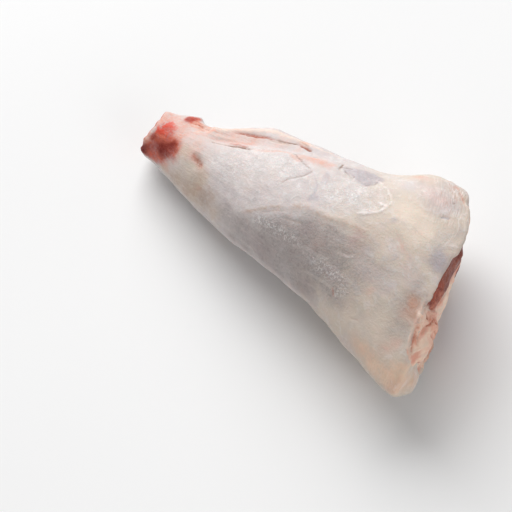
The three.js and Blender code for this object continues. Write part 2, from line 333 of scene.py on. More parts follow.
# Lines on the skin: pixels of the line, half width and rise in millimetres, its mask and how strong it is.
LINES = [
    # the heel tendon, the red furrow under it with painted shade along it, and the torn pocket at its end
    ([(205, 127), (220, 130), (237, 130.5), (254, 131), (271, 132), (284, 136), (297, 141), (318, 149),
      (345, 161)],
     1.7, 0.7, "cord", 0.9),
    ([(233, 133), (247, 134.8), (257, 136.2), (267, 137.8), (277, 140)], 0.8, -0.7, "red_furrow_and_shade", 0.85),
    ([(245, 135.2), (254, 136.4), (263, 137.6)], 0.45, -0.4, "crease_shade", 0.6),
    ([(274, 139.4), (283, 141.5), (292, 143.2), (300, 144.8)], 0.6, -0.5, "crease_shade", 0.75),
    ([(268, 142), (280, 144.5), (296, 147)], 0.6, 0.3, "cord", 0.5),
    ([(298, 143.5), (304, 146), (309, 148.6), (312, 151)], 1.0, -0.6, "red_furrow_and_shade", 0.6),
    ([(301, 145), (306, 147.8), (312, 151.4)], 0.9, -0.6, "crease_shade", 1.0),
    ([(300, 142.6), (305, 144.6), (310, 147.4)], 0.6, -0.4, "crease_shade", 0.5),
    ([(266, 139.6), (275, 141.6), (284, 143.4), (293, 145.6)], 0.9, -0.2, "tan_and_shade", 0.8),
    # the second furrow, and the edge of the white membrane that runs on from it
    ([(210, 141.5), (220, 143.6), (230, 145.4)], 0.5, -0.4, "crease_shade", 0.6),
    ([(223, 144), (234, 146), (241, 147.2), (253, 149.8)], 0.6, -0.6, "crease_shade", 0.85),
    ([(228, 143.4), (238, 145), (250, 147.6)], 1.0, 0.3, "red_furrow_and_shade", 0.6),
    ([(252, 149.8), (271, 151), (283, 151.5), (294, 153.7)], 0.8, -0.2, "blush", 0.8),
    ([(291, 152), (296, 154.6), (302.5, 161.8), (308, 166.5), (312, 169.6)], 0.7, -0.35, "crease_shade", 0.55),
    ([(312, 170), (310, 172.6), (299, 176.5), (287.5, 179), (279.5, 184.5)], 0.7, -0.3, "crease_shade", 0.5),
    ([(289, 154), (294, 157), (299, 162)], 0.9, 0.2, "blush", 0.9),
    # folds between the heel and the tendon
    ([(193, 122), (199, 123), (205, 126.5)], 0.7, 0.5, "flush", 0.7),
    ([(188, 119.5), (194, 120.8), (200, 122.5), (205, 125.5)], 0.6, -0.5, "red_furrow_and_shade", 0.9),
    ([(193, 123.5), (200, 125.2), (206, 128)], 0.5, -0.45, "red_furrow_and_shade", 0.7),
    ([(197, 126.5), (204, 128.5), (211, 131)], 0.5, -0.4, "red_furrow_and_shade", 0.5),
    ([(196, 127.5), (206, 130.5), (217, 132.5)], 0.7, 0.4, "cord", 0.6),
    ([(203, 133), (209, 134.5), (216, 137)], 0.5, -0.3, "crease_shade", 0.4),
    ([(198, 131), (212, 135), (226, 138), (242, 141)], 0.8, 0.3, "cord", 0.4),
    ([(203, 136), (216, 139.5), (232, 142), (262, 146)], 0.7, -0.3, "flush", 0.35),
    ([(192.5, 152.5), (195.5, 158), (198.5, 163), (203, 169)], 2.6, -0.4, "red_furrow_and_shade", 0.56),
    ([(195.5, 158), (198.5, 163), (201, 166)], 1.6, -0.4, "crease_shade", 0.46),
    # the pinch in the membrane, with its rays, and the thin wrinkles by it
    ([(321, 150), (334, 153.7), (346, 158), (360, 163)], 0.5, -0.3, "window", 0.6),
    ([(343, 163), (341, 167), (338, 170.5)], 0.55, -0.45, "crease_shade", 0.8),
    ([(342, 167), (348, 167.5), (354, 169)], 0.6, -0.4, "crease_shade", 0.5),
    ([(343, 168), (347, 173.7), (352.5, 179.4)], 0.5, -0.4, "crease_shade", 0.6),
    ([(352.5, 179.4), (355.8, 176)], 0.5, -0.3, "crease_shade", 0.5),
    ([(355.8, 178), (362, 183), (369, 185.5), (376, 184), (380, 178.5)], 0.5, -0.35, "crease_shade", 0.45),
    ([(343, 169), (344, 172), (345, 176)], 0.5, 0.3, "veil_and_sheen", 0.8),
    ([(314, 174), (316.5, 182), (316.5, 189), (313, 197)], 0.55, -0.3, "window", 0.9),
    ([(310, 173), (311, 181), (307, 188)], 0.5, 0.2, "edge", 0.5),
    # the loose flap of membrane, its rim and the folds in it
    ([(374, 181), (379, 181.5), (384, 186), (388, 191), (391, 196.5), (391.5, 202), (389, 206.5)],
     0.55, 0.35, "edge", 1.0),
    ([(389, 206.5), (383, 210), (374, 212.3), (363, 213.3), (356, 213)], 0.65, 0.4, "edge", 1.0),
    ([(378, 185), (383, 190), (387, 196.5), (388, 202), (386, 206)], 0.8, -0.3, None, 0),
    ([(377, 201.5), (383, 205), (388, 207)], 0.7, 0.4, "edge", 0.9),
    ([(360, 211), (370, 209.5), (379, 208.5)], 1.1, 0.2, "veil_and_sheen", 0.9),
    ([(372, 187), (377, 192), (381, 198)], 0.6, -0.3, "tan_and_shade", 0.5),
    # the yellowish edge of the shin muscle, and small nicks and threads
    ([(240, 212), (258, 209.5), (272, 207), (287, 207.5)], 1.2, 0.15, "tan_and_shade", 0.75),
    ([(287, 207.5), (303, 207), (318, 213), (330, 218), (345, 222), (371, 234)], 2.0, 0.4, "tan_and_shade", 0.6),
    ([(262, 213), (275, 210.5), (290, 211.5)], 0.6, -0.2, "tan_and_shade", 0.5),
    ([(281, 217), (292, 221), (304, 223)], 0.7, -0.3, "tan_and_shade", 0.45),
    # painted shade in a small nick, and a painted highlight below it
    ([(440, 217), (445, 217.8), (451, 219.5)], 0.7, -0.6, "window", 0.9),
    ([(443, 221), (447, 222)], 0.8, 0.3, "edge", 0.5),
    ([(342, 253), (347, 256.5), (352, 257), (357, 254)], 0.45, 0.25, "edge", 0.6),
    ([(210, 221), (215, 219.5), (220, 219)], 0.5, 0.3, "edge", 0.5),
    ([(244, 245), (250, 246), (253, 250), (253, 254)], 0.5, 0.3, "edge", 0.6),
    ([(332, 286), (333.5, 292), (334, 297)], 0.8, -0.2, "red_furrow_and_shade", 0.55),
    ([(349, 317.5), (354, 319), (359, 320.5)], 0.6, -0.2, "red_furrow_and_shade", 0.35),
    ([(453, 202), (455, 204)], 0.8, -0.5, "crease_shade", 0.7),
    ([(396, 232), (401, 243), (406, 254), (411, 264)], 1.0, -0.2, "blush", 0.35),
    # pale wrinkles at the knee's corner
    ([(416, 190), (420, 194.5), (424.5, 199.5)], 0.5, 0.25, "edge", 0.6),
    ([(422, 189.5), (426, 193), (431, 196.5)], 0.5, 0.25, "edge", 0.6),
    ([(435.5, 187.5), (438.5, 191), (441.5, 195.5)], 0.45, 0.25, "edge", 0.6),
    ([(444.5, 189), (446.5, 192), (448.5, 196)], 0.45, 0.25, "edge", 0.5),
    ([(451, 180), (456, 185), (460, 191)], 0.5, 0.3, "edge", 0.5),
    ([(456, 186.5), (460, 193), (463, 200), (464, 206)], 0.7, -0.3, "flush", 0.4),
    ([(428, 184), (432, 188), (435, 193)], 0.45, 0.2, "edge", 0.4),
    # the curled edge of the skin over the cut, and beside the fat pad
    ([(449, 246), (455, 247), (461, 248.5)], 0.6, 0.3, "edge", 0.5),
    ([(426, 298), (423, 306), (419.4, 313.6), (416.2, 322.9), (412.3, 331.4), (409.8, 340),
      (408.5, 351), (408, 362)],
     0.8, 0.6, "fold", 0.9),
    # painted shade beside the skin's fold
    ([(418.5, 322), (415.4, 331.5), (412.8, 340.7), (411.5, 349), (411.2, 357)], 0.8, -0.6, "red_furrow_and_shade", 0.55),
    ([(427.3, 293), (426.5, 299), (425.5, 306), (424.5, 312)], 0.7, -0.6, "crease_shade", 0.3),
    # creases of the fat pad
    ([(424.5, 327.5), (428.5, 324.5), (434, 319.6)], 0.5, -0.7, "red_furrow_and_shade", 0.8),
    ([(425.5, 312.5), (426.6, 316.4), (427, 320)], 0.7, -0.7, "red_furrow_and_shade", 1.0),
    ([(433.4, 316.5), (434.6, 321), (435, 326)], 0.6, -0.4, "red_furrow_and_shade", 0.7),
    ([(427, 344), (430, 343.2), (433.8, 341.8)], 0.6, -0.9, "red_furrow_and_shade", 1.0),
    ([(413.5, 361), (419, 360), (425.5, 358)], 0.55, -0.4, "red_furrow_and_shade", 1.0),
    ([(427.5, 330), (428.3, 337), (427.4, 344), (425, 352)], 0.55, -0.5, "red_furrow_and_shade", 0.5),
    ([(421, 316), (420.5, 322), (422, 328)], 0.6, -0.5, "red_furrow_and_shade", 0.3),
    ([(432, 309.5), (436, 310), (440, 312)], 0.6, -0.6, "red_furrow_and_shade", 0.6),
    # a painted highlight on a lump of fat
    ([(434, 312.2), (437, 312.8), (440, 315)], 0.8, 0.6, "edge", 0.5),
    # a painted highlight under the lower crease
    ([(415, 363.2), (418, 363.4), (423, 362)], 0.8, 0.5, "edge", 0.4),
    ([(430.5, 329), (431.5, 334), (431, 340)], 0.6, -0.4, "red_furrow_and_shade", 0.8),
    ([(417, 336), (417.5, 341), (416.5, 347)], 0.7, -0.4, "red_furrow_and_shade", 0.4),
    ([(421, 334), (423, 342), (422, 350)], 0.9, 0.4, "fold", 0.5),
    ([(427, 347), (428.5, 351), (427, 356)], 0.6, -0.4, "red_furrow_and_shade", 0.7),
    ([(439, 304), (442, 299), (444.5, 294)], 0.6, -0.4, "red_furrow_and_shade", 0.5),
    ([(423, 367), (417, 376), (411, 387)], 1.1, 0.3, "fold", 0.7),
]

# Patches of colour: a mask, then each patch's pixel of the middle, radius in pixels and strength.
PATCHES = {
    "blood": [
        (436, 296, 13, 0.35), (441, 286, 11, 0.25), (160, 133, 8, 0.4), (165, 129, 9, 0.6),
        (153, 137, 5, 0.8), (158, 142, 9, 0.8), (167, 142, 9, 0.7), (160, 149, 10, 1.0),
        (171, 148, 10, 0.9), (176, 147, 6, 0.6), (147, 151, 6, 1.0), (153, 156, 8, 0.9),
        (163, 158, 8, 0.2), (149, 147, 7, 1.0), (157, 157, 8, 0.6), (170, 134, 8, 0.6),
        (174, 155, 7, 0.6), (189, 119, 5, 1.0), (194, 119, 5, 1.0), (199, 120.5, 4, 0.9),
        (143, 149, 7, 1.0), (148, 156, 5, 0.8),
    ],
    "raw": [
        (169, 125, 5, 1.0), (163, 130, 6, 0.9), (158, 130, 5, 0.7), (173, 128, 5, 0.7),
        (167, 133, 5, 0.5), (190, 119, 4, 0.7), (196, 119, 4, 0.7), (151, 155, 5, 0.4),
        (143, 150, 5, 0.5),
    ],
    "bruise": [
        (159, 148.5, 7, 0.8), (165, 148.5, 8, 0.8), (173, 147, 8, 0.75), (153.5, 147, 6, 0.3),
        (153.5, 137.5, 4, 0.6), (142.5, 147, 5.5, 1.0), (143.5, 152, 6, 0.9), (149, 149, 5, 0.4),
        (168, 153, 6, 0.25), (190, 119, 4, 0.6), (196, 119.5, 3, 0.5),
    ],
    "flush": [
        (172, 116, 12, 0.5), (163, 120, 9, 0.55), (183, 124, 12, 0.5), (179, 136, 11, 0.5),
        (176, 142, 8, 0.4), (182, 147, 9, 0.3), (164, 164, 10, 0.5), (199, 124, 6, 0.6),
        (205, 128, 5, 0.4), (188, 132, 10, 0.2), (198, 146, 12, 0.2), (190, 155, 8, 0.25),
        (240, 144, 9, 0.35), (252, 144, 9, 0.3), (238, 131, 6, 0.3), (304, 144, 8, 0.4),
        (414, 177, 7, 0.3), (422, 177.5, 7, 0.35), (456, 188, 5, 0.4), (462, 198, 4, 0.5),
        (416, 341, 6, 0.6), (432, 339, 12, 0.8), (433, 330, 11, 0.7), (430, 348, 10, 0.6),
        (436, 322, 7, 0.7), (436, 311, 7, 0.6), (443, 300, 7, 0.7), (421, 356, 6, 0.7),
        (417.5, 325.5, 4, 0.5), (429, 321, 5, 0.6), (424, 364, 4, 0.5), (439, 306, 4, 0.5),
        (413, 298, 8, 0.12), (414, 306, 8, 0.15), (412, 314, 8, 0.15),
    ],
    "blush": [
        (235, 139, 12, 0.4), (255, 142, 12, 0.4), (275, 146, 12, 0.4), (436, 196, 16, 0.25),
        (200, 150, 14, 0.35), (200, 135, 12, 0.5), (222, 137, 16, 0.4), (250, 132, 14, 0.35),
        (305, 156, 7, 0.8), (313, 159, 7, 0.9), (322, 162, 8, 0.8), (329, 166, 6, 0.6),
        (298, 150, 6, 0.5), (298, 157, 5, 0.6), (285, 139, 10, 0.4), (305, 143, 8, 0.6),
        (413, 300, 8, 0.4), (414, 309, 10, 0.5), (413, 316, 11, 0.55), (385, 349, 9, 0.5),
        (396, 343, 7, 0.4), (370, 291, 6, 0.4), (399, 248, 6, 0.25), (407, 264, 6, 0.25),
        (362, 352, 10, 0.3), (360, 236, 14, 0.4), (318, 243, 12, 0.25), (198, 189, 5, 0.6),
        (185, 195, 10, 0.3), (208, 172, 7, 0.3), (430, 195, 12, 0.2), (425, 181, 10, 0.35),
        (446, 203, 10, 0.2), (325, 310, 8, 0.2), (240, 162, 16, 0.2),
    ],
    "peach": [
        (398, 388, 14, 1.0), (388, 378, 14, 0.9), (404, 372, 10, 0.8), (372, 366, 14, 0.7),
        (355, 345, 14, 0.4), (365, 348, 10, 0.5), (412, 380, 10, 0.7),
    ],
    "fat": [
        (404, 210, 14, 0.8), (415, 218, 14, 0.9), (426, 228, 12, 0.9), (408, 236, 12, 0.6),
        (418, 242, 10, 0.5), (375, 330, 20, 0.6), (350, 318, 16, 0.5), (395, 345, 14, 0.4),
        (330, 218, 10, 0.4), (350, 224, 10, 0.4), (262, 210, 8, 0.3), (390, 312, 12, 0.3),
    ],
    "window": [
        (351, 171, 8, 1.0), (357, 173, 8, 1.0), (364, 175, 9, 1.0), (371, 177, 9, 1.0),
        (377, 179, 7, 1.0), (360, 179, 6, 0.9), (368, 182, 6, 1.0), (315, 199, 6, 0.7),
        (320, 200, 4, 0.5), (309, 201, 4, 0.5), (328, 177, 8, 0.55), (325, 183, 6, 0.5),
        (315.5, 190, 3.5, 0.7), (440, 252, 11, 0.5), (440, 265, 10, 0.6), (357, 238, 12, 0.5),
        (300, 240, 16, 0.25), (393, 258, 9, 0.5), (392, 221, 7, 0.6), (394, 240, 7, 0.4),
        (262, 160, 9, 0.3), (388, 288, 10, 0.4), (398, 275, 9, 0.3), (343, 166, 4, 0.5),
    ],
    # white membrane; its frost specks are partly painted sheen of the wet wrinkles
    "veil_and_sheen": [
        (357, 173, 10, 0.2), (371, 179, 8, 0.25), (240, 165, 18, 0.45), (220, 160, 16, 0.35),
        (283, 164, 16, 0.45), (361, 190, 9, 1.0), (340, 194, 12, 0.8), (330, 190, 9, 0.8),
        (370, 203, 10, 0.6), (350, 203, 10, 0.6), (298, 168, 14, 0.6), (278, 160, 14, 0.55),
        (285, 172, 12, 0.5), (252, 164, 20, 0.4), (320, 188, 8, 0.6), (381, 187, 6, 0.9),
        (345, 184, 8, 0.8), (422, 194, 8, 0.3), (240, 150, 12, 0.4), (263, 152, 12, 0.6),
        (300, 187, 7, 0.4), (352, 197, 7, 0.8), (258, 203, 10, 0.3), (300, 215, 8, 0.2),
        (395, 182, 9, 0.4),
    ],
    # painted highlights: white glints on the wet flank
    "glint": [
        (262, 222, 6, 0.8), (270, 226, 6, 1.0), (278, 231, 6, 1.0), (287, 237, 6, 0.9),
        (256, 218, 5, 0.5), (294, 241, 5, 0.5), (312, 258, 6, 0.5), (322, 266, 7, 0.7),
        (332, 274, 7, 0.8), (341, 281, 6, 0.6), (338, 293, 5, 0.6), (345, 292, 4, 0.4),
        (300, 248, 6, 0.3), (276, 218, 5, 0.4),
    ],
    "wet": [
        (262, 224, 9, 0.8), (275, 228, 10, 1.0), (290, 236, 9, 1.0), (322, 268, 8, 0.8),
        (333, 276, 9, 1.0), (344, 286, 8, 0.8), (361, 192, 12, 1.0), (335, 195, 14, 0.8),
        (383, 200, 10, 1.0), (295, 168, 14, 0.5),
    ],
    # painted shade: grey on the lower flank of the shin, under the tendon and along the lower outline,
    # partly the darker grey membrane there
    "grey_skin_and_shade": [
        (252, 143, 9, 0.35), (266, 145, 9, 0.35), (282, 147, 9, 0.3), (246, 248, 10, 0.7),
        (262, 259, 10, 0.8), (278, 271, 10, 0.8), (294, 283, 10, 0.3), (232, 237, 9, 0.6),
        (240, 228, 18, 0.7), (265, 240, 22, 1.0), (290, 252, 24, 1.0), (315, 262, 24, 1.0),
        (335, 272, 20, 0.9), (305, 232, 16, 0.9), (330, 240, 16, 0.9), (300, 282, 20, 0.8),
        (350, 255, 16, 0.7), (225, 212, 12, 0.6), (441, 262, 14, 0.6), (332, 290, 14, 0.7),
        (372, 270, 16, 0.5), (355, 285, 14, 0.5), (400, 300, 16, 0.4), (460, 232, 12, 0.5),
        (455, 205, 14, 0.4), (445, 240, 12, 0.3), (400, 330, 16, 0.3), (205, 200, 12, 0.5),
        (345, 305, 14, 0.4), (420, 285, 10, 0.4), (414, 306, 12, 0.8), (368, 177, 12, 0.7),
        (347, 196, 14, 0.4), (365, 205, 14, 0.4), (362, 240, 14, 0.6), (395, 262, 14, 0.2),
        (372, 176, 8, 0.4), (395, 332, 16, 0.4), (280, 225, 14, 0.5),
    ],
    "pad": [
        (421, 319, 4, 0.9), (418, 327, 4.5, 1.0), (416, 335, 4.5, 1.0), (414.5, 343, 4.5, 1.0),
        (413, 351, 4.5, 1.0), (412, 358, 4, 0.9),
    ],
    "cool": [
        (436, 195, 18, 0.9), (448, 208, 14, 0.7), (440, 262, 14, 0.6), (394, 250, 12, 0.5),
        (388, 288, 12, 0.5), (408, 186, 12, 0.6),
    ],
    "fold": [
        (429, 307, 4.5, 0.8), (421.6, 325, 3.5, 0.3), (427, 308, 4.5, 0.8), (424, 313, 4, 0.7),
    ],
    "red_furrow_and_shade": [
        (430, 339, 5, 0.4), (421, 356, 5, 0.35), (416, 341, 5, 0.3), (436, 322, 4, 0.4),
        (429, 321, 4, 0.25), (443, 300, 4, 0.35), (431, 348, 4, 0.3),
    ],
    "gristle": [
        (195, 123, 6, 0.9), (203, 127, 6, 1.0), (211, 131, 7, 0.8), (221, 134, 8, 0.4),
        (232, 139, 8, 0.3), (199, 132, 6, 0.6), (145.5, 140, 3.5, 0.9), (148, 135, 4, 0.7),
        (152.5, 129, 5, 0.6), (157, 123, 5, 0.4),
    ],
    # yellowish tan tissue, and painted shade on the flank below the heel, which turns away from the light
    "tan_and_shade": [
        (213, 194, 9, 0.5), (175, 178, 14, 0.7), (190, 190, 14, 0.8), (200, 178, 12, 0.6),
        (203, 200, 14, 0.7), (216, 216, 12, 0.4), (300, 203, 9, 0.3), (413, 298, 8, 0.5),
        (414, 306, 9, 0.6), (413, 316, 11, 0.6), (365, 320, 16, 0.3), (250, 146, 8, 0.3),
        (163, 166, 10, 0.5),
    ],
    "warmth": [
        (185, 150, 13, 0.9), (192, 166, 12, 0.7), (165, 170, 12, 0.9), (178, 183, 14, 1.0),
        (192, 195, 14, 1.0), (198, 178, 12, 0.9), (212, 212, 14, 0.6), (190, 162, 10, 0.5),
        (185, 170, 12, 0.7), (350, 345, 20, 0.6), (330, 320, 16, 0.5), (400, 335, 16, 0.5),
    ],
}

# How the marks wander: millimetres, the size of the lumps in metres, and the seed.
LINE_WANDER = (0.4, 0.003, 7)
WIDE_WANDER = (1.3, 0.007, 5)
FINE_WANDER = (0.6, 0.0026, 6)
TAPER_SHARE = 0.2
THIN_END = 0.02

names = ["cord", "crease_shade", "edge", *PATCHES]
masks = {name: np.zeros(len(places)) for name in names}
lift = np.zeros(len(places))
unsteady = places + wander(places, *LINE_WANDER)
for pixels, half_width, rise, colour, strength in LINES:
    away, along = off_line(unsteady, trail(pixels))
    taper = np.sqrt(np.clip(np.minimum(along, 1 - along) / TAPER_SHARE, THIN_END, 1))
    near = taper * bell(away, half_width * MILLIMETRE * (1 + taper) / 2)
    lift += rise * near
    if colour:
        masks[colour] = np.maximum(masks[colour], strength * near)
drifting = places + wander(places, *WIDE_WANDER) + wander(places, *FINE_WANDER)
for colour, patches in PATCHES.items():
    for x, y, reach, strength in patches:
        near = strength * bell(off_point(drifting, seen(x, y)), reach * PIXEL)
        masks[colour] = 1 - (1 - masks[colour]) * (1 - near)

# The sides that lie away from the camera carry the same kinds of patches, spread by noise: a mask, the
# size of its patches in metres and its strength.
TURNED_AWAY = (-0.15, 0.3)
SPREAD_EDGE = (0.1, 0.8)
SPREAD_SEED = 51
SPREAD = (
    ("fat", 0.026, 0.55),
    ("blush", 0.015, 0.35),
    ("veil_and_sheen", 0.016, 0.6),
    ("window", 0.017, 0.35),
    ("grey_skin_and_shade", 0.03, 0.4),
)
hidden = ramp(-normals @ np.array(to_eye), *TURNED_AWAY)
for seed, (colour, size, strength) in enumerate(SPREAD, start=SPREAD_SEED):
    spread = ramp(lumps(places, size, seed), *SPREAD_EDGE)
    masks[colour] = np.maximum(masks[colour], hidden * strength * spread)

# The knee cut: seams of white tissue between its muscles, as shares from the tip to the back and from the
# foot to the top. The seam under the outer band of muscle widens into the fat pad. SEAMS says each one's
# half width in millimetres and its strength.
BAND_SEAM = [
    (0.3, 1), (0.32, 0.92), (0.35, 0.8), (0.42, 0.745), (0.46, 0.74), (0.53, 0.7), (0.58, 0.68),
    (0.65, 0.69), (0.74, 0.68), (0.83, 0.64), (0.9, 0.58),
]
BAND_FAT = [(0.3, 0.52), (0.36, 0.44), (0.45, 0.34), (0.52, 0.22), (0.56, 0.1), (0.58, 0.03), (1, 0.02)]
FAT_SEAM = [(0.30, 0.60), (0.357, 0.55), (0.46, 0.43), (0.54, 0.45)]
FAINT_SEAM = [(0.54, 0.45), (0.63, 0.52), (0.71, 0.58)]
LOWER_SEAM = [(0.45, 0.2), (0.51, 0.24), (0.705, 0.36), (0.835, 0.5), (0.856, 0.55)]
SEAMS = ((BAND_SEAM, 1.2, 1), (FAT_SEAM, 1.2, 1), (FAINT_SEAM, 0.6, 0.6), (LOWER_SEAM, 0.7, 0.8))
# A crevice of the cut, sunk and painted dark as shade, as shares from the tip to the back and from the foot
# to the top.
CREVICE = [(0.6, 0.16), (0.656, 0.134), (0.78, 0.12), (0.89, 0.152)]
CREVICE_WIDE = 0.0013

# The rim of the cut is sharp at its top and rounder at its sides. The tip stays in its skin.
RIM_SHARP = 0.025
RIM_ROUND = 0.09
RIM_TURN = 0.035
CUT_DEPTH = (-0.006, -0.004)
PAD_EDGE = (0.3, 0.7)
TIP_SLANT = 0.16
TIP_EDGE = (0.08, 0.12)

radius = np.hypot(right, up)
back = np.clip((right + 1) / 2, 0, 1)
high = np.clip((up / np.sqrt(np.maximum(1 - right**2, 0.01)) + 1) / 2, 0, 1)
uneven = lumps(places, 0.005, 3)
sideways = ramp(np.abs(right) / np.maximum(radius, 0.001), 0.3, 1)
skin_edge = 1 - RIM_SHARP - (RIM_ROUND - RIM_SHARP) * sideways
past_tip = back - TIP_SLANT * (1 - high) + 0.02 * lumps(places, 0.004, 2)
cut = ramp(radius, skin_edge, skin_edge - RIM_TURN) * ramp(out, *CUT_DEPTH)
cut = np.maximum(cut, ramp(masks["pad"], *PAD_EDGE)) * ramp(past_tip, *TIP_EDGE)
for name in ("veil_and_sheen", "window", "blush", "grey_skin_and_shade", "fat"):
    masks[name] *= 1 - cut

flat = cut_plane(right, up)
seam = np.zeros(len(places))
for line, half_width, strength in SEAMS:
    away = off_line(flat, [on_cut(*point) for point in line])[0] + uneven * 0.0003
    seam = np.maximum(seam, strength * bell(away, half_width * MILLIMETRE))
shaded_crevice = bell(off_line(flat, [on_cut(*point) for point in CREVICE])[0], CREVICE_WIDE)
under_band = np.interp(back, *zip(*BAND_SEAM)) - high + uneven * 0.02
band = ramp(-under_band, -0.02, 0.02)
lower = 1 - ramp(high - np.interp(back, *zip(*LOWER_SEAM)), -0.02, 0.03)

# Fat lies at the tip, under the outer band, at the back, below the joint and along the rim.
TIP_FAT = (0.26, 0.32)
BACK_FAT = (0.93, 0.97)
JOINT_FAT = (0.34, 0.4)
TOP_RIM_FAT = (0.84, 0.9)
FOOT_RIM_FAT = (0.82, 0.9)
band_fat = np.interp(back, *zip(*BAND_FAT))
lard = np.max([
    1 - ramp(back + uneven * 0.015, *TIP_FAT),
    ramp(under_band, -0.02, 0.01) * (1 - ramp(under_band, band_fat - 0.03, band_fat + 0.03)),
    ramp(back + uneven * 0.008, *BACK_FAT),
    (1 - ramp(back + uneven * 0.015, *JOINT_FAT)) * ramp(-up, 0.3, 0.5),
    ramp(radius + uneven * 0.01, *TOP_RIM_FAT) * ramp(back, 0.6, 0.64) * ramp(up, 0.1, 0.3),
    ramp(radius + uneven * 0.015, *FOOT_RIM_FAT) * ramp(-up, 0.1, 0.3),
], axis=0)
fatty = np.clip(lard, 0, 1) * cut
fleshy = cut * (1 - fatty)

# Heights of the cut, in millimetres. The groove under the skin's edge is set by how high it is on the cut,
# and the flesh below it is sunk.
GROOVE = [(0.5, 0.3), (0.62, 0.4), (0.68, 0.4), (0.75, 0.1), (0.8, -0.2), (0.9, -1.8), (1, -2.2)]
GROOVE_START = (0.29, 0.36)
GROOVE_END = (0.52, 0.64)
GROOVE_FOOT = (0.5, 0.6)
SUNK_START = (0.38, 0.42)
SUNK_END = (0.6, 0.7)
SUNK_TOP = (0.42, 0.56)
SUNK_DEPTH = 1.4
SEAM_DEPTH = 0.5
CREVICE_DEPTH = 1.8
FOLD_HEIGHT = 0.8
FLESH_ROUGH = 0.25
PAD_AT = (0.23, 0.66)
PAD_WIDE = (0.1, 0.2)
PAD_SWELL = 3.6
fat_grain = np.column_stack([0.45 * flat[:, 0], flat[:, 1], 0.5 * out])
folds = 0.6 * lumps(fat_grain, 0.0045, 11) + 0.6 * lumps(fat_grain, 0.0023, 12)
groove = cut * ramp(back, *GROOVE_START) * (1 - ramp(back, *GROOVE_END)) * ramp(high, *GROOVE_FOOT)
sunk = fleshy * ramp(back, *SUNK_START) * (1 - ramp(back, *SUNK_END)) * (1 - ramp(high, *SUNK_TOP))
pad = cut * bell(back - PAD_AT[0], PAD_WIDE[0]) * bell(high - PAD_AT[1], PAD_WIDE[1])
lift += groove * (np.interp(high, *zip(*GROOVE)) - out / MILLIMETRE)
lift -= SEAM_DEPTH * seam * fleshy + CREVICE_DEPTH * shaded_crevice * cut
lift += FOLD_HEIGHT * folds * fatty + PAD_SWELL * pad
lift += FLESH_ROUGH * fleshy * lumps(places, 0.004, 13) - SUNK_DEPTH * sunk

# The hock's end is rough from the saw. The skin swells and dips a little. By the knee it is drawn into fine
# wrinkles that run round the rim, at the back corner and at the tip, and by the hock into fibres along the
# leg.
HOCK_FACING = (0.6, 0.9)
HOCK_END = (0.083, 0.086)
HOCK_ROUGH = 0.35
SKIN_SWELL = 0.3
SKIN_DIP = 0.12
RUCK_HEIGHT = 0.14
RUCK_DEPTH = (-0.026, -0.01)
CORNER_TURN = 0.85
CORNER_WIDE = 0.5
TIP_RUCKED = 0.6
TIP_WIDE = 0.6
FLOOR_SIDE = (0.0005, 0.004)
hock = ramp(-normals[:, 0], *HOCK_FACING) * ramp(-places[:, 0], *HOCK_END)
turn = np.arctan2(up, right)
rucks = np.column_stack([out, 0.04 * turn, 0.04 * radius])
corner = bell(turn - CORNER_TURN, CORNER_WIDE)
corner = np.maximum(corner, TIP_RUCKED * bell(np.abs(turn) - math.pi, TIP_WIDE))
rucked = (1 - cut) * ramp(out + 0.004 * uneven, *RUCK_DEPTH) * corner
skin = (1 - cut) * ramp(places[:, 2], *FLOOR_SIDE)
crusted = 0.14 * masks["veil_and_sheen"] + 0.15 * masks["blood"] + 0.35 * masks["gristle"]
lift += HOCK_ROUGH * hock * lumps(places, 0.003, 21)
lift += skin * SKIN_SWELL * lumps(places, 0.014, 31)
lift += skin * SKIN_DIP * lumps(places * (0.3, 1, 1), 0.004, 32)
lift += skin * crusted * lumps(places, 0.0023, 33)
lift += skin * RUCK_HEIGHT * rucked * lumps(rucks * (1, 0.2, 1), 0.0019, 34)
shaped = places + normals * lift[:, None] * MILLIMETRE
shaped[:, 2] = np.maximum(shaped[:, 2], 0)
write(meat, shaped)

# The grain of the skin runs along the leg and spreads with it.
GRAIN_HALF = 0.03
share = np.clip((places[:, 0] - LEG_START[0]) / (LEG_END[0] - LEG_START[0]), 0, 1.2)
middle = LEG_START + share[:, None] * (LEG_END - LEG_START)
halves = np.array(LEG_HALVES[0]) + share[:, None] * (np.array(LEG_HALVES[1]) - LEG_HALVES[0])
grain = np.column_stack([share, (places[:, 1:] - middle[:, 1:]) / np.sqrt(halves * GRAIN_HALF)])
for name, values in (("grain", grain), ("rucks", rucks)):
    layer = meat.data.attributes.new(name, "FLOAT_VECTOR", "POINT")
    layer.data.foreach_set("vector", values.astype(np.float32).ravel())
masks["blood"] = np.maximum(masks["blood"], hock * 0.8)
masks["warmth"] = np.maximum(masks["warmth"], ramp(share, 0.5, 0.9)) * (1 - masks["cool"])
# Painted shade: dark in the crevice of the cut and along the rim under the skin's edge over the outer band.
masks["shaded_crevice"] = np.maximum(shaded_crevice, 0.6 * band * ramp(radius, 0.86, 0.96))
masks["ruck"] = ramp(-folds, 0.1, 0.9)
masks["fibres"] = skin * (1 - ramp(share, 0.15, 0.5))
masks.update(cut=cut, seam=seam, band=band, lower=lower, lard=lard, rucked=rucked)
for name, values in masks.items():
    keep_mask(meat, name, values)


def paint(red, green, blue):
    """A colour as a screen shows it, from 0 to 255, in the way that a shader takes it."""
    shares = [value / 255 for value in (red, green, blue)]
    light = [share / 12.92 if share <= 0.04045 else ((share + 0.055) / 1.055) ** 2.4 for share in shares]
    return (*light, 1)


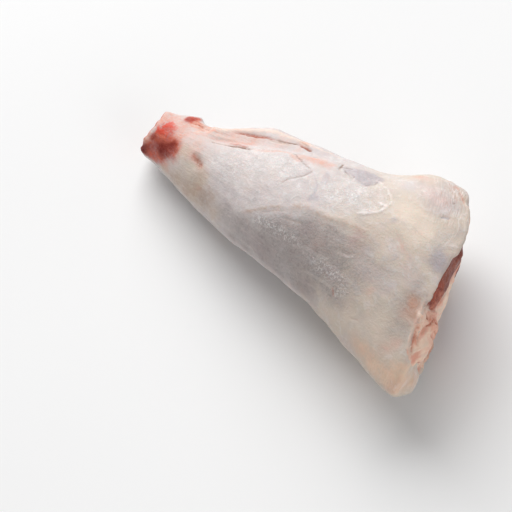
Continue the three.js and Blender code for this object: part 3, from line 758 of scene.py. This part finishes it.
class Flow:
    """A socket of a material, so that its maths is written as sums."""

    def __init__(self, tree, socket=None):
        self.tree = tree
        self.socket = socket

    def node(self, kind, settings, inputs, output=0):
        """A new node with its settings, and the values or links of its sockets."""
        made = self.tree.nodes.new("ShaderNode" + kind)
        for name, value in settings.items():
            setattr(made, name, value)
        for name, value in inputs.items():
            if isinstance(value, Flow):
                self.tree.links.new(value.socket, made.inputs[name])
            else:
                made.inputs[name].default_value = value
        return Flow(self.tree, made.outputs[output] if made.outputs else None)

    def sum(self, operation, first, second):
        return self.node("Math", {"operation": operation}, {0: first, 1: second})

    def __add__(self, other):
        return self.sum("ADD", self, other)

    def __sub__(self, other):
        return self.sum("SUBTRACT", self, other)

    def __rsub__(self, other):
        return self.sum("SUBTRACT", other, self)

    def __mul__(self, other):
        return self.sum("MULTIPLY", self, other)

    __radd__ = __add__
    __rmul__ = __mul__

    def step(self, start, end):
        """Goes smoothly from 0 at start to 1 at end."""
        inputs = {"Value": self, "From Min": start, "From Max": end}
        return self.node("MapRange", {"interpolation_type": "SMOOTHSTEP"}, inputs)

    def blend(self, first, second):
        """The first colour where this is 0 and the second where it is 1."""
        return self.node("Mix", {"data_type": "RGBA"}, {0: self, 6: first, 7: second}, 2)

    def under(self, mask, colour):
        """This colour with another laid over it where the mask is."""
        return mask.blend(self, colour)

    def clouds(self, size, stretch=(1, 1, 1), detail=2.0, bend=0.0):
        """Noise spread from 0 to 1, with clouds of about that size, drawn out along the axes."""
        scale = tuple(1 / (size * length) for length in stretch)
        at = self.node("Mapping", {}, {"Vector": self, "Scale": scale})
        inputs = {"Vector": at, "Scale": 1.0, "Detail": detail, "Roughness": 0.55, "Distortion": bend}
        return self.node("TexNoise", {}, inputs).step(0.3, 0.7)

    def mask(self, name):
        return self.node("Attribute", {"attribute_name": name}, {}, "Fac")

    def layer(self, name):
        return self.node("Attribute", {"attribute_name": name}, {}, "Vector")

    def bump(self, strength, distance, height):
        inputs = {"Strength": strength, "Distance": distance, "Height": height}
        return self.node("Bump", {}, inputs)


def start_material(piece, name):
    """An empty material on a piece, and its Object coordinates."""
    material = bpy.data.materials.new(name)
    material.use_nodes = True
    material.node_tree.nodes.clear()
    piece.data.materials.append(material)
    return Flow(material.node_tree).node("TexCoord", {}, {}, "Object")


def finish_material(place, inputs):
    surface = place.node("BsdfPrincipled", {}, inputs)
    place.node("OutputMaterial", {}, {"Surface": surface})


place = start_material(meat, "shank meat")
cloud = place.clouds(0.018, detail=3.0)
blotch = place.clouds(0.008, detail=3.0, bend=0.6)
mottle = place.clouds(0.0035, detail=3.0, bend=0.8)
speck = place.clouds(0.0011, detail=3.0)
frost = place.clouds(0.001, detail=5.0, bend=0.3).step(0.45, 0.95)
crumple = place.clouds(0.0026, detail=4.0, bend=2.0)
streak = place.layer("grain").clouds(0.045, (2.5, 1, 1), 3.0, 0.7)
thread = place.layer("grain").clouds(0.11, (1.8, 1, 1), 3.0, 0.9)
wrinkle = place.layer("rucks").clouds(0.0011, (1, 5, 9), 3.0, 1.4)
ragged = 0.9 * (mottle - 0.5) + 0.5 * (speck - 0.5)
rucked = place.mask("rucked")
fibres = place.mask("fibres")


def over(name, softness, start, end, strength):
    """A mask with a ragged edge."""
    return (place.mask(name) * (1 + softness * ragged)).step(start, end) * strength


# The skin, from its plain tone to the marks that lie in it.
# Painted shade: the grey of the lower flank, under the tendon and along the lower outline, partly the
# darker membrane there; on the hidden sides the same grey lies in patches.
grey_skin_and_shade = over("grey_skin_and_shade", 0.4, 0.0, 1.1, 1.0)
grey_shade_tone = blotch.blend(paint(162, 153, 151), paint(154, 143, 140))
peach = blotch.blend(paint(246, 212, 184), paint(238, 196, 168))
window = mottle.blend(paint(174, 164, 170), paint(192, 184, 188))
pale_rucks = rucked * wrinkle.step(0.55, 0.95) * (0.3 + 0.7 * blotch)
dark_rucks = rucked * (1 - wrinkle).step(0.65, 1.0) * cloud
pale_threads = thread.step(0.6, 1.0) * (0.05 + 0.12 * place.mask("grey_skin_and_shade") + 0.2 * fibres)
warmth = (place.mask("warmth") + 0.5 * (cloud - 0.5)).step(0.0, 1.0)
tone = warmth.blend(paint(214, 204, 202), paint(215, 200, 185))
tone = tone.under(cloud.step(0.55, 1.0) * 0.35, paint(192, 182, 187))
tone = tone.under(blotch.step(0.55, 1.0) * 0.3, paint(222, 202, 192))
tone = tone.under((1 - blotch).step(0.6, 1.0) * 0.25, paint(190, 184, 178))
tone = tone.under(mottle.step(0.55, 1.0) * 0.3, paint(236, 231, 230))
tone = tone.under(grey_skin_and_shade * 0.8, grey_shade_tone)
tone = tone.under(grey_skin_and_shade * crumple.step(0.5, 1.0) * 0.4, paint(184, 172, 168))
tone = tone.under(grey_skin_and_shade * (1 - crumple).step(0.55, 1.0) * 0.35, paint(134, 120, 116))
tone = tone.under(grey_skin_and_shade * cloud.step(0.5, 1.0) * 0.3, paint(176, 158, 158))
tone = tone.under(streak.step(0.55, 1.0) * (0.06 + 0.2 * fibres), paint(200, 182, 172))
tone = tone.under(pale_threads, paint(238, 228, 222))
tone = tone.under(over("fat", 0.3, 0.05, 1.0, 0.8), paint(235, 218, 202))
tone = tone.under(over("peach", 0.4, 0.05, 0.9, 0.8), peach)
tone = tone.under(pale_rucks * 0.8, paint(244, 230, 226))
tone = tone.under(dark_rucks * 0.6, paint(198, 166, 154))
tone = tone.under(over("window", 0.3, 0.25, 0.75, 0.7), window)
tone = tone.under(over("blush", 0.5, 0.0, 1.1, 0.85), paint(224, 172, 154))
# Yellowish tan tissue, and painted shade on the flank below the heel.
tone = tone.under(over("tan_and_shade", 0.8, 0.1, 1.0, 0.65), paint(186, 158, 138))

# The cut, with its muscles, its seams and its fat.
tissue = place.clouds(0.0008, detail=3.0)
bundle = place.node("TexVoronoi", {"feature": "F1"}, {"Vector": place, "Scale": 700.0}, "Distance")
flesh = mottle.blend(paint(112, 42, 38), paint(134, 56, 48))
flesh = flesh.under(place.mask("band") * 0.8, mottle.blend(paint(120, 50, 34), paint(156, 82, 58)))
flesh = flesh.under(place.mask("lower") * 0.6, paint(124, 66, 60))
flesh = flesh.under(tissue.step(0.7, 1.0) * 0.3, paint(192, 130, 114))
# painted shade in the crevice and under the skin's edge
flesh = flesh.under(place.mask("shaded_crevice"), paint(84, 32, 30))
flesh = flesh.under(over("seam", 0.6, 0.3, 0.8, 1.0), paint(222, 196, 180))
lard_tone = mottle.blend(paint(250, 220, 198), paint(242, 196, 174))
lard_tone = lard_tone.under(blotch.step(0.4, 1.0) * 0.5, paint(232, 212, 194))
lard_tone = lard_tone.under(place.mask("ruck") * 0.5, paint(214, 112, 86))
flesh = flesh.under(over("lard", 0.5, 0.3, 0.7, 1.0), lard_tone)
tone = tone.under(over("cut", 0.15, 0.35, 0.65, 1.0), flesh)

# The membrane, the folds, the creases and the blood lie over both, with painted shade in the creases and
# furrows and painted highlights where the membrane glints.
# White membrane; its white frost specks are partly painted sheen, the light on its wet wrinkles.
veil_and_sheen = place.mask("veil_and_sheen") * (0.12 + 0.5 * frost + 0.4 * mottle)
gristle = mottle.blend(paint(244, 218, 202), paint(224, 160, 138))
blood = mottle.blend(paint(182, 54, 26), paint(208, 92, 56))
# Painted highlights: fine white glints on the wet membrane of the flank.
glint = place.mask("glint") * place.clouds(0.0011, (1, 1, 1.8), 3.0, 1.0).step(0.5, 0.85)
tone = tone.under(over("cord", 0.5, 0.1, 0.9, 0.7), paint(242, 220, 206))
tone = tone.under(veil_and_sheen * 0.9, paint(248, 242, 240))
tone = tone.under(over("fold", 0.3, 0.1, 0.9, 0.8), paint(232, 206, 190))
# Pale edges of the membrane and wrinkles; in a few places painted highlights on lumps of fat and below a
# nick.
tone = tone.under(over("edge", 0.6, 0.1, 1.0, 0.65), paint(250, 241, 238))
tone = tone.under(over("flush", 0.6, 0.0, 1.0, 0.85), paint(226, 148, 122))
tone = tone.under(over("gristle", 0.6, 0.1, 1.0, 0.7), gristle)
tone = tone.under(over("gristle", 0.6, 0.0, 0.8, 0.55) * streak.step(0.45, 0.85), paint(224, 152, 130))
# Painted shade: dark brown lines in the creases, under the tendon and in the pinches of the membrane.
tone = tone.under(over("crease_shade", 0.3, 0.1, 0.8, 0.85), paint(136, 102, 84))
# The red of the furrows and of the fat pad's creases, with painted shade beside the skin's fold at the fat
# pad.
tone = tone.under(over("red_furrow_and_shade", 0.4, 0.05, 0.95, 0.85), paint(180, 92, 66))
tone = tone.under(over("blood", 0.3, 0.0, 1.0, 0.9), blood)
tone = tone.under(over("raw", 1.3, 0.0, 1.2, 0.75), paint(220, 66, 44))
tone = tone.under(over("bruise", 0.3, 0.0, 1.05, 0.92), paint(108, 12, 8))
tone = tone.under(glint * 0.85, paint(240, 236, 234))

wet = place.mask("wet") + 0.3 * place.mask("cut")
crinkle = 0.25 * mottle + 0.2 * speck + streak * (0.05 + 0.2 * fibres) + thread * (0.05 + 0.08 * fibres)
crinkle = crinkle + rucked * wrinkle * 0.4 + wet * frost * 0.6 + place.mask("veil_and_sheen") * frost * 0.4
crinkle = crinkle + place.mask("cut") * (bundle * 0.4 + mottle * 0.5) + glint * 0.5 + grey_skin_and_shade * crumple * 0.35
finish_material(place, {
    "Base Color": tone,
    "Roughness": 0.5 - 0.14 * wet + (speck - 0.5) * 0.14,
    "Coat Weight": 0.05 + 0.3 * wet,
    "Coat Roughness": 0.3,
    "Specular IOR Level": 0.2,
    "Subsurface Weight": 0.12,
    "Subsurface Radius": (1.0, 0.35, 0.25),
    "Subsurface Scale": 0.003,
    "Normal": place.bump(0.5, 0.0006, crinkle),
})
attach(meat, "root")
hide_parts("meat")


# Bone
# The shin bone runs through the meat from the sawn hock to the knee, where its joint face is a shallow
# dish with a paler edge. At the hock the saw shows the hard ring of the bone and the red marrow in it.
JOINT_AT = (0.29, 0.43)
JOINT_RADIUS = 0.012
JOINT_FACING = (0.5, 0.8)
JOINT_END = (0.075, 0.08)
JOINT_DEPTH = 1.0
JOINT_ROUGH = 0.2
SAWN_RADIUS = 0.0085
MARROW_DEPTH = 0.5
SAW_ROUGH = 0.15
BONE_TURNS = 6

bone = start_piece("shank_bone", "bone")
shape(bone, "REMESH", mode="VOXEL", voxel_size=VOXEL, adaptivity=0, use_smooth_shade=True)
shape(bone, "SMOOTH", factor=0.5, iterations=BONE_TURNS)
places = read(bone, "co")
normals = read(bone, "vector")
right, up, out = at_cut(places)
from_joint = off_point(cut_plane(right, up), on_cut(*JOINT_AT)) / JOINT_RADIUS
face = ramp(normals[:, 0], *JOINT_FACING) * ramp(places[:, 0], *JOINT_END)
sawn = ramp(-normals[:, 0], *HOCK_FACING) * ramp(-places[:, 0], *HOCK_END)
from_saw = off_point(places, places[sawn > 0.5].mean(axis=0)) / SAWN_RADIUS
dish = 1 - ramp(from_joint, 0.1, 0.85)
hollow = 1 - ramp(from_saw, 0.4, 0.6)
lift = face * (JOINT_ROUGH * lumps(places, 0.003, 41) - JOINT_DEPTH * dish)
lift += sawn * (SAW_ROUGH * lumps(places, 0.0015, 42) - MARROW_DEPTH * hollow)
write(bone, places + normals * lift[:, None] * MILLIMETRE)
keep_mask(bone, "face", face)
keep_mask(bone, "edge", face * ramp(from_joint, 0.55, 0.9))
keep_mask(bone, "marrow", sawn * (1 - ramp(from_saw, 0.45, 0.6)))

place = start_material(bone, "shank bone")
cloud = place.clouds(0.004, detail=3.0)
speck = place.clouds(0.0009, detail=3.0)
pale_edge = (place.mask("edge") + 0.4 * (cloud - 0.5)).step(0.3, 0.8)
marrow = (place.mask("marrow") + 0.4 * (speck - 0.5)).step(0.3, 0.7)
bone_tone = cloud.blend(paint(214, 186, 166), paint(196, 150, 134))
bone_tone = bone_tone.under(place.mask("face") * (0.5 + 0.5 * cloud), paint(168, 112, 96))
bone_tone = bone_tone.under(pale_edge * 0.8, paint(220, 200, 186))
bone_tone = bone_tone.under(marrow, paint(138, 52, 44))
finish_material(place, {
    "Base Color": bone_tone,
    "Roughness": 0.38 + 0.2 * speck,
    "Coat Weight": 0.4,
    "Coat Roughness": 0.2,
    "Subsurface Weight": 0.1,
    "Subsurface Radius": (1.0, 0.4, 0.3),
    "Subsurface Scale": 0.002,
    "Normal": place.bump(0.4, 0.0006, speck + 0.5 * cloud),
})
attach(bone, "root")
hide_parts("bone")


# Meniscus
# The crescent of wet, blue-white cartilage that lies on the joint face and stays there when the knee is
# taken apart. It is smooth and almost glassy, and thins to nothing at both horns.
meniscus = start_piece("shank_meniscus", "meniscus")
shape(meniscus, "SUBSURF", levels=2, render_levels=2)
bpy.ops.object.shade_smooth()
place = start_material(meniscus, "shank cartilage")
cloud = place.clouds(0.003)
film = place.clouds(0.0008)
finish_material(place, {
    "Base Color": cloud.blend(paint(206, 200, 200), paint(226, 214, 204)),
    "Roughness": 0.24 + 0.12 * film,
    "Coat Weight": 0.6,
    "Coat Roughness": 0.1,
    "Subsurface Weight": 0.2,
    "Subsurface Radius": (1.0, 0.7, 0.6),
    "Subsurface Scale": 0.002,
    "Normal": place.bump(0.15, 0.0004, film),
})
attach(meniscus, "root")
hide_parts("meniscus")


# Floor and light
# A plain pale floor, one broad soft light from the far side of the hock, high up, which leaves the side of
# the shin in shade, a weak one on the knee's side, and white light from all round. A light has a place, a
# size and a power.
FLOOR_SIZE = 6
KEY_LIGHT = ((-1.5, 1.24, 1.8), 2.6, 84)
SIDE_LIGHT = ((1.1, -0.35, 0.6), 0.8, 3)
ROOM_LIGHT = 0.32

bpy.ops.object.select_all(action="DESELECT")
bpy.ops.mesh.primitive_plane_add(size=FLOOR_SIZE)
floor = bpy.context.object
floor.name = "floor"
place = start_material(floor, "pale floor")
floor_tone = place.clouds(0.4).blend(paint(241, 241, 241), paint(244, 244, 244))
finish_material(place, {"Base Color": floor_tone, "Roughness": 0.7})

for at, size, power in (KEY_LIGHT, SIDE_LIGHT):
    bpy.ops.object.light_add(type="AREA", location=at)
    light = bpy.context.object
    light.rotation_euler = (SHANK_MIDDLE - Vector(at)).to_track_quat("-Z", "Y").to_euler()
    light.data.size = size
    light.data.energy = power
world = bpy.data.worlds.new("white room")
world.use_nodes = True
room = world.node_tree.nodes["Background"].inputs
room["Color"].default_value = (1, 1, 1, 1)
room["Strength"].default_value = ROOM_LIGHT
bpy.context.scene.world = world
bpy.context.scene.view_settings.view_transform = "Standard"
